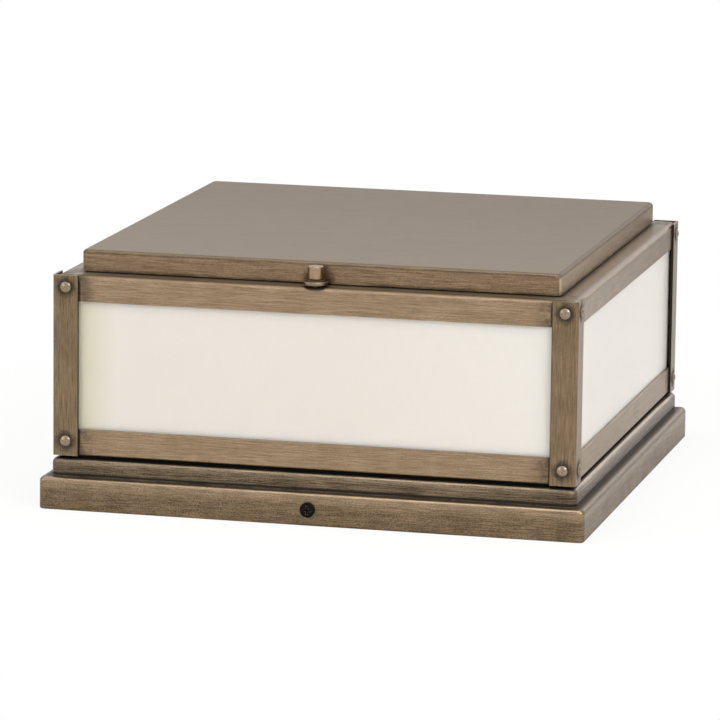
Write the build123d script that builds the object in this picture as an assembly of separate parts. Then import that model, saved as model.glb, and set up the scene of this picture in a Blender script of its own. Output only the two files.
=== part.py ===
"""Pier mount lantern: a square glazed cage with a hinged lid on a two-step base.

Millimetres, +Z up. The origin is the middle of the base's underside, and the side with the thumb
screw looks along -Y.
"""

import os

from build123d import *

# Overall sizes: the cage is the reference width, and the steps and the lid follow it
cage_width = 280.0
cage_height = 96.0
step_overhang = 0.8
step_height = 9.4
skirt_ledge = 5.2
skirt_height = 17.2
neck_height = 1.5
lid_inset = 12.0
lid_height = 11.2
lid_gap = 0.8

# Sheet thicknesses
base_sheet = 1.5
frame_sheet = 1.2
post_sheet = 1.2
lid_sheet = 1.2
tray_sheet = 1.0
plate_sheet = 2.0
bracket_sheet = 1.5
clip_sheet = 0.8
leaf_sheet = 1.0
ear_sheet = 2.0
washer_sheet = 0.6
gasket_sheet = 0.5

# Rounding of the pressed and folded sheet: vertical corners, then the top or bottom edges
skirt_corner = 3.2
skirt_edge = 2.4
skirt_foot = 1.0
step_corner = 4.2
step_edge = 2.8
rail_corner = 3.6
top_rail_edge = 3.2
bottom_rail_edge = 1.6
lid_corner = 3.4
lid_edge = 2.2
post_corner = 1.2

# Cage and glazing
post_leg = 13.8
top_rail_height = 13.8
bottom_rail_height = 14.3
ledge_width = 26.4
flange_width = 21.9
rivet_inset = 7.0
rivet_raise = 0.7
rivet_head_radius = 2.8
rivet_head_height = 1.5
rivet_radius = 1.6
rivet_tail_radius = 1.75
rivet_tail_height = 0.8
glass_thickness = 3.0
glass_setback = 0.4
glass_lap = 3.6
tray_height = 9.0
clip_width = 12.0
clip_lap = 8.0
clip_foot = 10.0
clip_spacing = 140.0

# Base and mounting
skirt_flange = 28.0
neck_inset = 2.4
neck_band = 18.5
plate_width = 110.0
plate_flange = 14.0
anchor_x = 76.0
anchor_y = 180.0
anchor_radius = 3.6
plate_wire_radius = 18.0
set_screw_head_radius = 4.0
set_screw_head_height = 2.3
set_screw_radius = 2.0
set_screw_length = 9.0
ground_screw_x = 34.0
cage_screw_inset = 16.0
cage_screw_head_radius = 4.2
cage_screw_head_height = 2.8
cage_screw_radius = 2.4
cage_nut_flats = 8.0
cage_nut_height = 4.0
nipple_radius = 6.6
nipple_bore = 4.8
nipple_tail = 11.1
nipple_rise = 13.7
nipple_nut_flats = 20.0
nipple_nut_height = 5.0

# Lamp bracket, lampholders and lamps
bracket_gap = 34.0
bracket_height = 71.7
bracket_width = 50.0
bracket_foot = 19.0
bracket_screw_spacing = 32.0
bracket_screw_head_radius = 3.6
bracket_screw_head_height = 2.2
bracket_screw_radius = 1.9
bracket_screw_length = 5.0
lamp_rise = 41.7
holder_radius = 23.0
holder_depth = 22.0
holder_face = 2.5
holder_edge = 1.5
holder_screw_offset = 19.5
holder_screw_head_radius = 3.0
holder_screw_head_height = 2.0
holder_screw_radius = 1.7
holder_screw_grip = 7.0
pin_circle = 12.0
pin_radius = 1.65
pin_neck = 3.6
pin_head_radius = 2.5
pin_head_height = 2.2
twist_angle = 25.0
lamp_base_radius = 22.0
lamp_base_band = 6.3
lamp_base_height = 18.0
lamp_neck_radius = 17.6
lamp_globe_radius = 26.0
lamp_length = 72.0

# Wiring inside
lead_radius = 1.1
lead_bend = 5.0
lead_insert = 3.0
lead_spread = 12.0
lead_first = 4.0
lead_pitch = 6.0
block_y = 18.75
block_width = 26.0
block_depth = 11.0
block_height = 15.0
block_chamfer = 1.0

# Lid, latch and hinge
lip_width = 8.0
ear_radius = 6.5
ear_lift = 1.1
ear_upturn = 6.5
washer_radius = 5.0
knob_radius = 4.1
knob_height = 7.2
knob_edge = 0.6
screw_radius = 1.95
screw_tip = 1.4
collar_radius = 3.0
collar_length = 4.9
hinge_width = 72.0
barrel_radius = 2.6
hinge_pin_radius = 1.35
hinge_pin_head = 1.95
hinge_rivet_spacing = 48.0
hinge_rivet_head_radius = 2.2
hinge_rivet_head_height = 1.0
hinge_rivet_radius = 1.3
hinge_rivet_tail_radius = 1.9
hinge_rivet_tail_height = 0.7
leaf_drop = 9.0

# Fits and clearances
thread_gap = 0.05
screw_hole_gap = 0.25
latch_hole_gap = 0.25
pin_seat_gap = 0.02
pin_running_gap = 0.08
knuckle_gap = 0.4
barrel_lift = 0.3
flat_gap = 0.1
glass_gap = 0.3
tail_gap = 1.2
plate_gap = 0.3
slot_gap = 0.35
cavity_gap = 1.2
lamp_gap = 0.5
knob_gap = 1.9

# Half widths that follow from the sizes above
cage_half = cage_width / 2
step_half = cage_half + step_overhang
skirt_half = step_half + skirt_ledge
lid_half = cage_half - lid_inset
frame_half = cage_half - post_sheet
frame_inside = frame_half - frame_sheet
glass_outside = frame_inside - glass_setback
glass_inside = glass_outside - glass_thickness
tray_half = glass_inside - glass_gap
bracket_half = bracket_gap / 2

# Levels that follow from the sizes above
neck_z = skirt_height + step_height
step_under = neck_z - base_sheet
cage_z = neck_z + neck_height
floor_z = cage_z + frame_sheet
tray_top = floor_z + tray_sheet
ledge_z = cage_z + cage_height
ledge_under = ledge_z - frame_sheet
glass_top = ledge_z - top_rail_height + glass_lap
lid_z = ledge_z + lid_gap
lid_top = lid_z + lid_height
foot_top = tray_top + bracket_sheet
bracket_top = tray_top + bracket_height
lamp_z = tray_top + lamp_rise
block_top = tray_top + block_height
set_screw_z = skirt_height / 2
rail_middles = (cage_z + bottom_rail_height / 2, ledge_z - top_rail_height / 2)

# Latch and hinge axes
latch_y = -(lid_half + knob_gap + knob_radius)
ear_z = ledge_z + ear_lift
washer_z = ear_z + ear_sheet + flat_gap
knob_z = washer_z + washer_sheet + flat_gap
hinge_y = lid_half + barrel_radius + knuckle_gap
hinge_z = ledge_z + barrel_lift + barrel_radius
leaf_top = lid_top - lid_edge

# Ways that pieces are set down, hung and turned
on_top = (Align.CENTER, Align.CENTER, Align.MIN)
hung = (Align.CENTER, Align.CENTER, Align.MAX)
from_corner = (Align.MIN, Align.MIN)
from_below = (Align.CENTER, Align.MIN)
quarter_turns = [Rot(0, 0, 90 * k) for k in range(4)]
half_turns = quarter_turns[::2]
facing_front = Rot(90, 0, 0)
facing_rear = Rot(-90, 0, 0)
along_x = Rot(0, 90, 0)
upside_down = Rot(180, 0, 0)


def both_ways(distance):
    """The two places a distance apart, centred on zero."""
    return (-distance / 2, distance / 2)


def block(width, height, corner, edge):
    """Square block on z=0 with rounded vertical corners and a rounded top edge."""
    body = extrude(RectangleRounded(width, width, corner), height)
    return fillet(body.faces().sort_by(Axis.Z)[-1].edges(), edge)


def pan(width, height, sheet, corner, edge):
    """Pressed square pan, open underneath, of one sheet thickness all over."""
    hollow = block(width - 2 * sheet, height - sheet, corner - sheet, edge - sheet)
    return block(width, height, corner, edge) - hollow


def tray(width, height, sheet, corner, edge):
    """The same pan turned over: its floor is on z=0 and it is open above."""
    return Pos(0, 0, height) * upside_down * pan(width, height, sheet, corner, edge)


def domed(radius, rim, height):
    """Domed head standing on z=0: a short upright rim and a round crown."""
    crown = TangentArc((0, 0, height), (radius, 0, rim), tangent=(1, 0, 0))
    sides = Polyline((radius, 0, rim), (radius, 0, 0), (0, 0, 0), (0, 0, height))
    return revolve(make_face([*crown.edges(), *sides.edges()]), Axis.Z)


def screw(head_radius, head_height, shank_radius, length):
    """Domed cross-recess screw, the underside of its head on z=0."""
    head = domed(head_radius, 0.45 * head_height, head_height)
    bar = Pos(0, 0, head_height) * Box(1.15 * head_radius, 0.3 * head_radius, 1.1 * head_height)
    shank = Cylinder(shank_radius, length, align=hung)
    shank = chamfer(shank.faces().sort_by(Axis.Z)[0].edges(), 0.3 * shank_radius)
    return head - bar - Rot(0, 0, 90) * bar + shank


def rivet(head_radius, head_height, shank_radius, grip, tail_radius, tail_height):
    """Set rivet, the underside of its factory head on z=0."""
    head = domed(head_radius, 0.3 * head_height, head_height)
    shank = Cylinder(shank_radius, grip, align=hung)
    tail = Pos(0, 0, -grip) * Cylinder(tail_radius, tail_height, align=hung)
    return head + shank + tail


def hexagon_nut(flats, height, bore):
    body = extrude(RegularPolygon(flats / 2, 6, major_radius=False), height)
    return body - Cylinder(bore, 3 * height)


def drill(part, radius, places, reach):
    """Round holes of one radius, that far each way along the z direction of each place."""
    for place in places:
        part -= place * Cylinder(radius, 2 * reach)
    return part


# Fastening places, each with its z direction along the fastener
set_screw_places = [t * Pos(0, -skirt_half, set_screw_z) * facing_front for t in half_turns]
anchor_places = [Pos(x, y) for x in both_ways(anchor_x) for y in both_ways(anchor_y)]
cage_screw_spot = cage_screw_inset - cage_half
cage_screw_places = [t * Pos(cage_screw_spot, cage_screw_spot, step_under) for t in quarter_turns]
clamp_reach = 2 * (tray_top - step_under)
nipple_places = [Pos(0, 0, step_under)]
rivet_places = [
    t * Pos(x, -cage_half, z + rivet_raise) * facing_front
    for t in quarter_turns
    for x in both_ways(cage_width - 2 * rivet_inset)
    for z in rail_middles
]
rivet_grip = post_sheet + frame_sheet
bracket_screw_places = [
    Pos(x, y, foot_top)
    for x in both_ways(bracket_gap + bracket_foot)
    for y in both_ways(bracket_screw_spacing)
]
frame_rivet_grip = leaf_sheet + flat_gap + frame_sheet
frame_rivet_places = [
    Pos(x, frame_inside + frame_rivet_grip, ledge_z - top_rail_edge - leaf_drop / 2) * facing_rear
    for x in both_ways(hinge_rivet_spacing)
]
lid_rivet_grip = leaf_sheet + lid_sheet
lid_rivet_places = [
    Pos(x, lid_half + leaf_sheet, (hinge_z + barrel_radius + leaf_top) / 2) * facing_rear
    for x in both_ways(hinge_rivet_spacing)
]
latch_place = Pos(0, latch_y, ledge_z)

# Mounting plate: a strap with two upturned ends that the set screws bite into
plate_length = 2 * (skirt_half - base_sheet - plate_gap)
plate_outline = Rectangle(plate_length, plate_flange, align=from_below)
plate_outline = fillet(plate_outline.vertices().sort_by(Axis.Y)[:2], 1.5 * plate_sheet)
plate_hollow = Rectangle(plate_length - 2 * plate_sheet, plate_flange, align=from_below)
plate_hollow = fillet(plate_hollow.vertices().sort_by(Axis.Y)[:2], 0.5 * plate_sheet)
plate_section = Plane.YZ * (plate_outline - Pos(0, plate_sheet) * plate_hollow)
mounting_plate = extrude(plate_section, plate_width / 2, both=True)
mounting_plate = drill(mounting_plate, anchor_radius, anchor_places, 2 * plate_sheet)
mounting_plate = drill(mounting_plate, plate_wire_radius, [Pos()], 2 * plate_sheet)
bite = base_sheet + plate_gap + 2 * plate_sheet
mounting_plate = drill(mounting_plate, set_screw_radius + thread_gap, set_screw_places, bite)
ground_place = Pos(ground_screw_x, 0, plate_sheet)
mounting_plate = drill(mounting_plate, set_screw_radius + thread_gap, [ground_place], 2 * plate_sheet)
ground_screw = screw(set_screw_head_radius, set_screw_head_height, set_screw_radius, plate_sheet)
ground_screw = ground_place * ground_screw

# Base: skirt, upper step and the gasket that makes the dark gap under the cage
skirt_opening = 2 * (skirt_half - skirt_flange)
base_skirt = pan(2 * skirt_half, skirt_height, base_sheet, skirt_corner, skirt_edge)
base_skirt = fillet(base_skirt.faces().sort_by(Axis.Z)[0].outer_wire().edges(), skirt_foot)
base_skirt -= Pos(0, 0, skirt_height) * Box(skirt_opening, skirt_opening, 4 * base_sheet)
base_skirt = drill(base_skirt, set_screw_radius + screw_hole_gap, set_screw_places, 2 * base_sheet)
set_screw = screw(set_screw_head_radius, set_screw_head_height, set_screw_radius, set_screw_length)
set_screws = [place * set_screw for place in set_screw_places]

base_step = Pos(0, 0, skirt_height) * pan(2 * step_half, step_height, base_sheet, step_corner, step_edge)
base_step = drill(base_step, cage_screw_radius + screw_hole_gap, cage_screw_places, clamp_reach)
base_step = drill(base_step, nipple_radius + screw_hole_gap, nipple_places, clamp_reach)

neck_outer = cage_width - 2 * neck_inset
neck_inner = neck_outer - 2 * neck_band
neck_ring = RectangleRounded(neck_outer, neck_outer, rail_corner) - Rectangle(neck_inner, neck_inner)
neck_gasket = Pos(0, 0, neck_z) * extrude(neck_ring, neck_height)
neck_gasket = drill(neck_gasket, cage_screw_radius + screw_hole_gap, cage_screw_places, clamp_reach)

# Cage: two folded rail frames joined by four riveted angle posts
frame_width = 2 * frame_half
flange_opening = frame_width - 2 * flange_width
bottom_frame = tray(frame_width, bottom_rail_height, frame_sheet, rail_corner, bottom_rail_edge)
bottom_frame -= Box(flange_opening, flange_opening, 4 * frame_sheet)
bottom_frame = Pos(0, 0, cage_z) * bottom_frame
bottom_frame = drill(bottom_frame, rivet_radius + thread_gap, rivet_places, 2 * rivet_grip)
bottom_frame = drill(bottom_frame, cage_screw_radius + screw_hole_gap, cage_screw_places, clamp_reach)

ledge_opening = frame_width - 2 * ledge_width
top_frame = pan(frame_width, top_rail_height, frame_sheet, rail_corner, top_rail_edge)
top_frame -= Pos(0, 0, top_rail_height) * Box(ledge_opening, ledge_opening, 4 * frame_sheet)
top_frame = Pos(0, 0, ledge_z - top_rail_height) * top_frame
top_frame = drill(top_frame, rivet_radius + thread_gap, rivet_places, 2 * rivet_grip)
top_frame = drill(top_frame, hinge_rivet_radius + thread_gap, frame_rivet_places, 2 * frame_rivet_grip)
collar = Cylinder(collar_radius, collar_length - frame_sheet / 2, align=hung)
top_frame += latch_place * Pos(0, 0, -frame_sheet / 2) * collar
top_frame = drill(top_frame, screw_radius + latch_hole_gap, [latch_place], 2 * collar_length)

angle_section = Rectangle(post_leg, post_leg, align=from_corner)
angle_section -= Pos(post_sheet, post_sheet) * Rectangle(post_leg, post_leg, align=from_corner)
angle_section = fillet(angle_section.vertices().sort_by_distance((0, 0))[0], post_corner)
post = Pos(-cage_half, -cage_half, cage_z) * extrude(angle_section, cage_height)
post_holes = rivet_radius + thread_gap
corner_posts = [drill(t * post, post_holes, rivet_places, 2 * rivet_grip) for t in quarter_turns]

post_rivet = rivet(
    rivet_head_radius, rivet_head_height, rivet_radius, rivet_grip, rivet_tail_radius, rivet_tail_height
)
post_rivets = [place * post_rivet for place in rivet_places]

# Glazing: four like panes, close behind the rails, that stop short of the rivets' tails
glass_height = glass_top - floor_z
glass_width = cage_width - 2 * (rivet_inset + rivet_tail_radius + tail_gap)
pane = Box(glass_width, glass_thickness, glass_height, align=on_top)
pane_place = Pos(0, -(glass_outside + glass_inside) / 2, floor_z)
panes = [t * pane_place * pane for t in quarter_turns]

clip_length = ledge_under - glass_top + clip_lap
clip_leg = Rectangle(clip_sheet, clip_length, align=(Align.MIN, Align.MAX))
clip_section = clip_leg + Rectangle(clip_foot, clip_sheet, align=(Align.MIN, Align.MAX))
clip_section = fillet(clip_section.vertices().sort_by_distance((0, 0))[0], clip_sheet)
glass_clip = extrude(Plane.YZ * clip_section, clip_width / 2, both=True)
clip_places = [Pos(x, -tray_half, ledge_under) for x in both_ways(clip_spacing)]
glass_clips = [t * place * glass_clip for t in quarter_turns for place in clip_places]

# Floor of the lamp chamber, and the screws that clamp it and the cage to the base
reflector_tray = tray(2 * tray_half, tray_height, tray_sheet, rail_corner, bottom_rail_edge)
reflector_tray = Pos(0, 0, floor_z) * reflector_tray
reflector_tray = drill(reflector_tray, cage_screw_radius + screw_hole_gap, cage_screw_places, clamp_reach)
reflector_tray = drill(reflector_tray, nipple_radius + screw_hole_gap, nipple_places, clamp_reach)
foot_grip = bracket_sheet + tray_sheet
reflector_tray = drill(reflector_tray, bracket_screw_radius + thread_gap, bracket_screw_places, 2 * foot_grip)

cage_screw_length = tray_top + cage_nut_height - step_under
cage_screw = screw(cage_screw_head_radius, cage_screw_head_height, cage_screw_radius, cage_screw_length)
cage_screws = [place * upside_down * cage_screw for place in cage_screw_places]
cage_nut = hexagon_nut(cage_nut_flats, cage_nut_height, cage_screw_radius + thread_gap)
cage_nuts = [place * Pos(0, 0, tray_top - step_under) * cage_nut for place in cage_screw_places]

# Wire entry: a threaded nipple through the upper step and the tray, with a nut at each end
nipple_bottom = step_under - nipple_tail
nipple_length = tray_top + nipple_rise - nipple_bottom
wire_nipple = Cylinder(nipple_radius, nipple_length, align=on_top)
wire_nipple = Pos(0, 0, nipple_bottom) * drill(wire_nipple, nipple_bore, [Pos()], 2 * nipple_length)
nipple_nut = hexagon_nut(nipple_nut_flats, nipple_nut_height, nipple_radius + thread_gap)
nipple_nuts = [Pos(0, 0, z) * nipple_nut for z in (step_under - nipple_nut_height, tray_top)]

# Lamp bracket: a hat-shaped strap whose two uprights carry the lampholders back to back
bracket_outline = Rectangle(bracket_gap, bracket_height, align=from_below)
bracket_outline = fillet(bracket_outline.vertices().sort_by(Axis.Y)[-2:], 1.5 * bracket_sheet)
bracket_hollow = Rectangle(
    bracket_gap - 2 * bracket_sheet, bracket_height - bracket_sheet, align=from_below
)
bracket_hollow = fillet(bracket_hollow.vertices().sort_by(Axis.Y)[-2:], 0.5 * bracket_sheet)
feet = Rectangle(bracket_gap + 2 * bracket_foot, bracket_sheet, align=from_below)
bracket_section = Plane.XZ * (bracket_outline + feet - bracket_hollow)
lamp_bracket = Pos(0, 0, tray_top) * extrude(bracket_section, bracket_width / 2, both=True)
lamp_bracket = drill(lamp_bracket, bracket_screw_radius + screw_hole_gap, bracket_screw_places, foot_grip)
bracket_screw = screw(
    bracket_screw_head_radius, bracket_screw_head_height, bracket_screw_radius, bracket_screw_length
)
bracket_screws = [place * bracket_screw for place in bracket_screw_places]

# Lampholders for two-pin twist-lock lamps, built face up and then turned to the left and right
lamp_axes = {
    "left": Pos(-bracket_half, 0, lamp_z) * Rot(0, -90, 0),
    "right": Pos(bracket_half, 0, lamp_z) * Rot(0, 90, 0),
}
lock_slots = Sketch()
for start in (0, 180):
    track = CenterArc((0, 0), pin_circle, start, twist_angle)
    lock_slots += SlotArc(track, 2 * (pin_radius + slot_gap))
    lock_slots += Rot(0, 0, start + twist_angle) * Pos(pin_circle, 0) * Circle(pin_head_radius + slot_gap)
head_room = pin_head_radius + cavity_gap
cavity = Circle(pin_circle + head_room) - Circle(pin_circle - head_room)
cavity_depth = lamp_gap + pin_neck + pin_head_height + cavity_gap
holder_spots = [Pos(x, 0) for x in both_ways(2 * holder_screw_offset)]
holder = Cylinder(holder_radius, holder_depth, align=on_top)
holder = fillet(holder.faces().sort_by(Axis.Z)[-1].edges(), holder_edge)
holder -= Pos(0, 0, holder_depth) * extrude(lock_slots, -holder_face)
holder -= Pos(0, 0, holder_depth - holder_face) * extrude(cavity, holder_face - cavity_depth)
holder = drill(holder, holder_screw_radius + thread_gap, holder_spots, holder_screw_grip + thread_gap)
lead_levels = {"black": lamp_z + lead_spread / 2, "white": lamp_z - lead_spread / 2}
lead_places = [Pos(0, block_y, z) * along_x for z in lead_levels.values()]
lead_reach = bracket_half + lead_insert
lampholders = {
    side: drill(axis * holder, lead_radius + thread_gap, lead_places, lead_reach + thread_gap)
    for side, axis in lamp_axes.items()
}
holder_places = [axis * spot for axis in lamp_axes.values() for spot in holder_spots]
lamp_bracket = drill(lamp_bracket, holder_screw_radius + screw_hole_gap, holder_places, 2 * bracket_sheet)
lamp_bracket = drill(lamp_bracket, lead_radius + screw_hole_gap, lead_places, lead_reach)
holder_screw = screw(
    holder_screw_head_radius,
    holder_screw_head_height,
    holder_screw_radius,
    holder_screw_grip + bracket_sheet,
)
holder_screws = [place * Pos(0, 0, -bracket_sheet) * upside_down * holder_screw for place in holder_places]

# Twist-lock lamps: a base with two mushroom pins and an opal globe
base_z = holder_depth + lamp_gap
globe_z = base_z + lamp_base_height
lamp_end = base_z + lamp_length
globe_centre = lamp_end - lamp_globe_radius
base_profile = Polyline(
    (0, 0, base_z),
    (lamp_base_radius, 0, base_z),
    (lamp_base_radius, 0, base_z + lamp_base_band),
    (lamp_neck_radius, 0, globe_z),
    (0, 0, globe_z),
    close=True,
)
lamp_base = revolve(make_face(base_profile), Axis.Z)
shoulder = Spline(
    (lamp_neck_radius, 0, globe_z),
    (lamp_globe_radius, 0, globe_centre),
    tangents=((0.45, 0, 1), (0, 0, 1)),
)
crown = TangentArc((lamp_globe_radius, 0, globe_centre), (0, 0, lamp_end), tangent=(0, 0, 1))
floor = Polyline((0, 0, lamp_end), (0, 0, globe_z), (lamp_neck_radius, 0, globe_z))
lamp_globe = revolve(make_face([*shoulder.edges(), *crown.edges(), *floor.edges()]), Axis.Z)
pin = Cylinder(pin_radius, pin_neck, align=hung)
pin += Pos(0, 0, -pin_neck) * Cylinder(pin_head_radius, pin_head_height, align=hung)
lamp_pins = [Pos(x, 0, base_z) * pin for x in both_ways(2 * pin_circle)]

# Terminal block, and the leads that drop to it from each lampholder through the bracket
terminal_block = Pos(0, block_y, tray_top) * Box(block_width, block_depth, block_height, align=on_top)
terminal_block = chamfer(terminal_block.faces().sort_by(Axis.Z)[-1].edges(), block_chamfer)
leads = {}
for colour, drop in (("black", lead_first), ("white", lead_first + lead_pitch)):
    bend = (drop, block_y, lead_levels[colour])
    route = Polyline(
        (lead_reach, block_y, lead_levels[colour]), bend, (drop, block_y, block_top - lead_insert)
    )
    route = fillet(route.vertices().sort_by_distance(bend)[0], lead_bend)
    start = Plane(origin=route @ 0, z_dir=route % 0)
    lead = sweep(start * Circle(lead_radius), route)
    leads[colour] = [lead, mirror(lead, Plane.YZ)]
    ports = [Pos(x, block_y, block_top) for x in both_ways(2 * drop)]
    terminal_block = drill(terminal_block, lead_radius + thread_gap, ports, lead_insert + thread_gap)

# Lid: a pan with a return lip, a bonded gasket, and an ear brazed in at the front
lip_outer = 2 * (lid_half - lid_sheet)
lip_inner = lip_outer - 2 * lip_width
lid_pan = pan(2 * lid_half, lid_height, lid_sheet, lid_corner, lid_edge)
lid_pan += extrude(Rectangle(lip_outer, lip_outer) - Rectangle(lip_inner, lip_inner), lid_sheet)
lid_pan = Pos(0, 0, lid_z) * lid_pan
notch_depth = 2 * (lid_sheet + ear_sheet + flat_gap)
notch_height = ear_z + ear_sheet + flat_gap - lid_z
notch = Box(2 * (ear_radius + flat_gap), notch_depth, notch_height, align=on_top)
lid_pan -= Pos(0, -lid_half, lid_z) * notch
lid_pan = drill(lid_pan, hinge_rivet_radius + thread_gap, lid_rivet_places, 2 * lid_rivet_grip)

gasket_outer = lip_outer - 2 * lid_edge
gasket_ring = RectangleRounded(gasket_outer, gasket_outer, lid_edge) - Rectangle(lip_inner, lip_inner)
lid_gasket = Pos(0, 0, lid_z) * extrude(gasket_ring, -gasket_sheet)

tongue_back = -lid_half + lid_sheet + ear_sheet
tongue = Pos(0, latch_y) * Rectangle(2 * ear_radius, tongue_back - latch_y, align=from_below)
latch_ear = extrude(tongue + Pos(0, latch_y) * Circle(ear_radius), ear_sheet)
round_edges = latch_ear.edges().filter_by(GeomType.CIRCLE)
latch_ear = fillet(round_edges, 0.3 * ear_sheet)
latch_ear -= Pos(0, latch_y) * Cylinder(screw_radius + latch_hole_gap, 4 * ear_sheet)
upturn = Rectangle(2 * ear_radius, ear_sheet, align=(Align.CENTER, Align.MAX))
latch_ear += extrude(Pos(0, tongue_back) * upturn, ear_sheet + ear_upturn)
latch_ear = Pos(0, 0, ear_z) * latch_ear

# Latch: thumb screw and its captive washer; the ledge has a plunged collar for the thread
washer = Cylinder(washer_radius, washer_sheet, align=on_top)
thumb_washer = Pos(0, latch_y, washer_z) * drill(washer, screw_radius + thread_gap, [Pos()], 2 * washer_sheet)
knob = Cylinder(knob_radius, knob_height, align=on_top)
knob = fillet(knob.faces().sort_by(Axis.Z)[-1].edges(), knob_edge)
knob = chamfer(knob.faces().sort_by(Axis.Z)[0].edges(), knob_edge / 2)
screw_length = knob_z - (ledge_z - collar_length) + screw_tip
shank = Cylinder(screw_radius, screw_length, align=hung)
shank = chamfer(shank.faces().sort_by(Axis.Z)[0].edges(), 0.3 * screw_radius)
thumb_screw = Pos(0, latch_y, knob_z) * (knob + shank)

# Hinge: five knuckles on one pin, the frame's leaf folded over the rear rail
knuckle = (hinge_width - 4 * knuckle_gap) / 5
knuckle_mids = [(k - 2) * (knuckle + knuckle_gap) for k in range(5)]
frame_mids = knuckle_mids[0::2]
lid_mids = knuckle_mids[1::2]
hinge_axis = Pos(0, hinge_y, hinge_z)


def rods(mids, radius, length):
    """Rods on the hinge axis, one about each place along it."""
    return [hinge_axis * Pos(x, 0, 0) * along_x * Cylinder(radius, length) for x in mids]


bend_y = frame_half - top_rail_edge
bend_z = ledge_z - top_rail_edge
bend_inner = top_rail_edge + flat_gap
bend_outer = bend_inner + leaf_sheet
fold = (Circle(bend_outer) - Circle(bend_inner)) & Rectangle(bend_outer, bend_outer, align=from_corner)
over_ledge = Rectangle(bend_y - hinge_y, leaf_sheet, align=(Align.MAX, Align.MIN))
down_rail = Rectangle(leaf_sheet, leaf_drop, align=(Align.MIN, Align.MAX))
leaf_section = fold + Pos(0, bend_inner) * over_ledge + Pos(bend_inner, 0) * down_rail
frame_leaf = extrude(Plane.YZ * Pos(bend_y, bend_z) * leaf_section, hinge_width / 2, both=True)
frame_leaf -= rods(lid_mids, barrel_radius + knuckle_gap, knuckle + 2 * knuckle_gap)
frame_leaf += rods(frame_mids, barrel_radius, knuckle)
frame_leaf -= rods([0], hinge_pin_radius + pin_seat_gap, 2 * hinge_width)
frame_leaf = drill(frame_leaf, hinge_rivet_radius + thread_gap, frame_rivet_places, 2 * frame_rivet_grip)

lid_leaf = Box(hinge_width, leaf_sheet, leaf_top - hinge_z, align=(Align.CENTER, Align.MIN, Align.MIN))
lid_leaf = Pos(0, lid_half, hinge_z) * lid_leaf
lid_leaf -= rods(frame_mids, barrel_radius + knuckle_gap, knuckle + 2 * knuckle_gap)
lid_leaf += rods(lid_mids, barrel_radius, knuckle)
lid_leaf -= rods([0], hinge_pin_radius + pin_running_gap, 2 * hinge_width)
lid_leaf = drill(lid_leaf, hinge_rivet_radius + thread_gap, lid_rivet_places, 2 * lid_rivet_grip)

peened_end = domed(hinge_pin_head, 0.2 * hinge_pin_head, 0.5 * hinge_pin_head)
hinge_pin = rods([0], hinge_pin_radius, hinge_width)[0]
hinge_pin += hinge_axis * Pos(hinge_width / 2, 0, 0) * along_x * peened_end
hinge_pin += hinge_axis * Pos(-hinge_width / 2, 0, 0) * Rot(0, -90, 0) * peened_end


def hinge_rivet(grip):
    return rivet(
        hinge_rivet_head_radius,
        hinge_rivet_head_height,
        hinge_rivet_radius,
        grip,
        hinge_rivet_tail_radius,
        hinge_rivet_tail_height,
    )


frame_rivets = [place * hinge_rivet(frame_rivet_grip) for place in frame_rivet_places]
lid_rivets = [place * hinge_rivet(lid_rivet_grip) for place in lid_rivet_places]

nodes = {
    "mounting_plate": mounting_plate,
    "ground_screw": ground_screw,
    "base_skirt": base_skirt,
    "set_screws": set_screws,
    "base_step": base_step,
    "neck_gasket": neck_gasket,
    "bottom_frame": bottom_frame,
    "top_frame": top_frame,
    "corner_post_front_left": corner_posts[0],
    "corner_post_front_right": corner_posts[1],
    "corner_post_rear_right": corner_posts[2],
    "corner_post_rear_left": corner_posts[3],
    "post_rivets": post_rivets,
    "glass_front": panes[0],
    "glass_right": panes[1],
    "glass_rear": panes[2],
    "glass_left": panes[3],
    "glass_clips": glass_clips,
    "reflector_tray": reflector_tray,
    "cage_screws": cage_screws,
    "cage_nuts": cage_nuts,
    "wire_nipple": wire_nipple,
    "nipple_nuts": nipple_nuts,
    "lamp_bracket": lamp_bracket,
    "bracket_screws": bracket_screws,
    "holder_screws": holder_screws,
    "terminal_block": terminal_block,
    "leads_black": leads["black"],
    "leads_white": leads["white"],
    "hinge_leaf_frame": frame_leaf,
    "hinge_pin": hinge_pin,
    "hinge_rivets_frame": frame_rivets,
    "lid_pan": lid_pan,
    "lid_gasket": lid_gasket,
    "latch_ear": latch_ear,
    "hinge_leaf_lid": lid_leaf,
    "hinge_rivets_lid": lid_rivets,
    "thumb_screw": thumb_screw,
    "thumb_washer": thumb_washer,
}
for side, axis in lamp_axes.items():
    nodes["lampholder_" + side] = lampholders[side]
    nodes["lamp_base_" + side] = axis * lamp_base
    nodes["lamp_pins_" + side] = [axis * lamp_pin for lamp_pin in lamp_pins]
    nodes["lamp_globe_" + side] = axis * lamp_globe

os.makedirs("parts", exist_ok=True)
for name, shape in nodes.items():
    pieces = shape if isinstance(shape, list) else [shape]
    export_step(Compound([solid for piece in pieces for solid in piece.solids()]), f"parts/{name}.step")
print(len(nodes), "nodes written")
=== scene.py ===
import math

import bpy
import numpy as np
from mathutils import Matrix, Vector


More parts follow.
